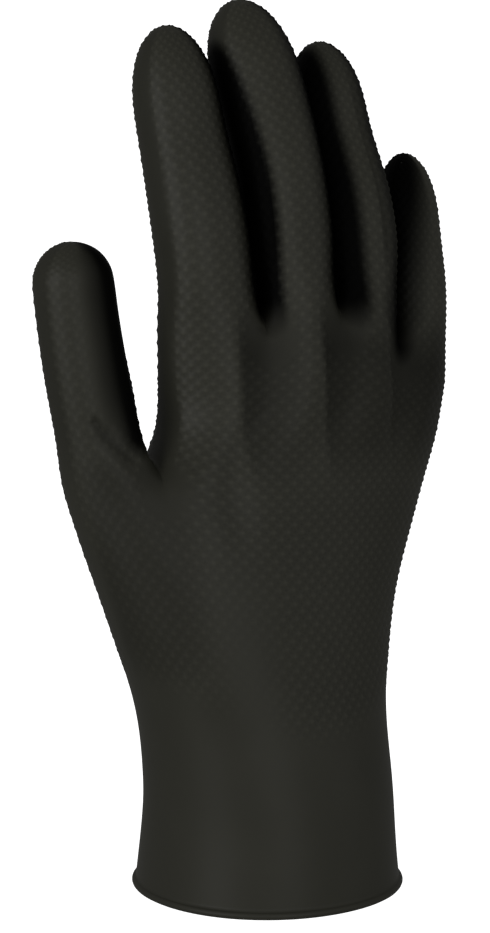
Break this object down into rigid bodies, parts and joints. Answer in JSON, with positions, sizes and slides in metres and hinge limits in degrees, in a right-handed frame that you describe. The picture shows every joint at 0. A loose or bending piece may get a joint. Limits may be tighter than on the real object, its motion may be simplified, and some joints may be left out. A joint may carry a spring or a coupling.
{
  "type": "work glove",
  "caption": "Long-fingered nitrile work glove for the right hand, hollow and filled out as if worn, with a rolled bead at the cuff's hem and a pebbled grip finish.",
  "frame": {"origin": "middle of the cuff's mouth, level with the bottom of the rolled bead", "axes": "+Z from the hem up to the fingertips, -X the thumb's side, -Y the back of the hand and +Y the palm"},
  "size_m": [0.1183, 0.0708, 0.2298],
  "materials": {
    "nitrile": "satin black nitrile with a raised pebbled grip"
  },
  "bodies": {
    "root": {"glove_skin": "nitrile"}
  },
  "joints": []
}
